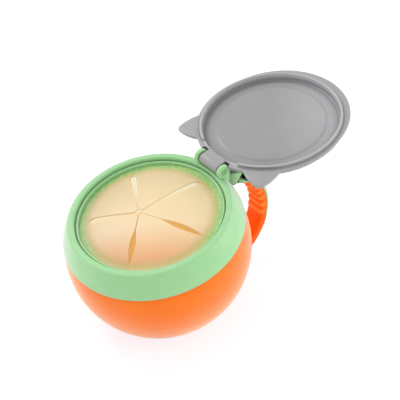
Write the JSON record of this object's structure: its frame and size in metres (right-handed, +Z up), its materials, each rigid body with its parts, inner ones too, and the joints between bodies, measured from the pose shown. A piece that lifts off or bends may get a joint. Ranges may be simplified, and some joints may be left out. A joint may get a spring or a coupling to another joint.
{
  "type": "toddler snack container",
  "caption": "Ball-shaped toddler snack bowl with a lift-off collar, soft slit membrane, C-shaped grip handle and hinged lid with pointed ears.",
  "frame": {"origin": "centre of the foot, on the surface it stands on", "axes": "+Z up; +X from the bowl's middle towards the handle and the lid's hinge; +Y to the left when looking along +X"},
  "size_m": [0.1719, 0.1, 0.1015],
  "materials": {
    "bowl_plastic": "smooth moulded orange plastic with a soft sheen",
    "collar_plastic": "smooth moulded pale green plastic",
    "grip_rubber": "soft deep orange overmoulded elastomer",
    "membrane_rubber": "soft translucent peach elastomer",
    "lid_plastic": "smooth moulded grey plastic"
  },
  "bodies": {
    "bowl": {"bowl": "bowl_plastic"},
    "collar": {"collar": "collar_plastic", "handle_frame": "collar_plastic", "handle_grip": "grip_rubber", "membrane_rim": "membrane_rubber", "hinge_pin": "collar_plastic"},
    "lid": {"lid": "lid_plastic"},
    "flap_1": {"flap_1": "membrane_rubber"},
    "flap_2": {"flap_2": "membrane_rubber"},
    "flap_3": {"flap_3": "membrane_rubber"},
    "flap_4": {"flap_4": "membrane_rubber"},
    "flap_5": {"flap_5": "membrane_rubber"}
  },
  "joints": [
    {"name": "collar_lift", "type": "slide", "parent": "bowl", "child": "collar", "axis": [-0.1788, 0, 0.9839], "range_m": [0, 0.025]},
    {"name": "lid_hinge", "type": "hinge", "parent": "collar", "child": "lid", "pos_m": [0.03603, 0, 0.07975], "axis": [0, -1, 0], "range_deg": [0, 178.2]},
    {"name": "flap_bend_1", "type": "hinge", "parent": "collar", "child": "flap_1", "pos_m": [0.01576, 0.01477, 0.06896], "axis": [0.5783, -0.809, 0.1051], "range_deg": [-30, 60], "stiffness_Nm_per_rad": 0.01},
    {"name": "flap_bend_2", "type": "hinge", "parent": "collar", "child": "flap_2", "pos_m": [-0.01188, 0.0239, 0.06394], "axis": [0.9357, 0.309, 0.1701], "range_deg": [-30, 60], "stiffness_Nm_per_rad": 0.01},
    {"name": "flap_bend_3", "type": "hinge", "parent": "collar", "child": "flap_3", "pos_m": [-0.02896, 0, 0.06083], "axis": [0, 1, 0], "range_deg": [-30, 60], "stiffness_Nm_per_rad": 0.01},
    {"name": "flap_bend_4", "type": "hinge", "parent": "collar", "child": "flap_4", "pos_m": [-0.01188, -0.0239, 0.06394], "axis": [-0.9357, 0.309, -0.1701], "range_deg": [-30, 60], "stiffness_Nm_per_rad": 0.01},
    {"name": "flap_bend_5", "type": "hinge", "parent": "collar", "child": "flap_5", "pos_m": [0.01576, -0.01477, 0.06896], "axis": [-0.5783, -0.809, -0.1051], "range_deg": [-30, 60], "stiffness_Nm_per_rad": 0.01}
  ]
}
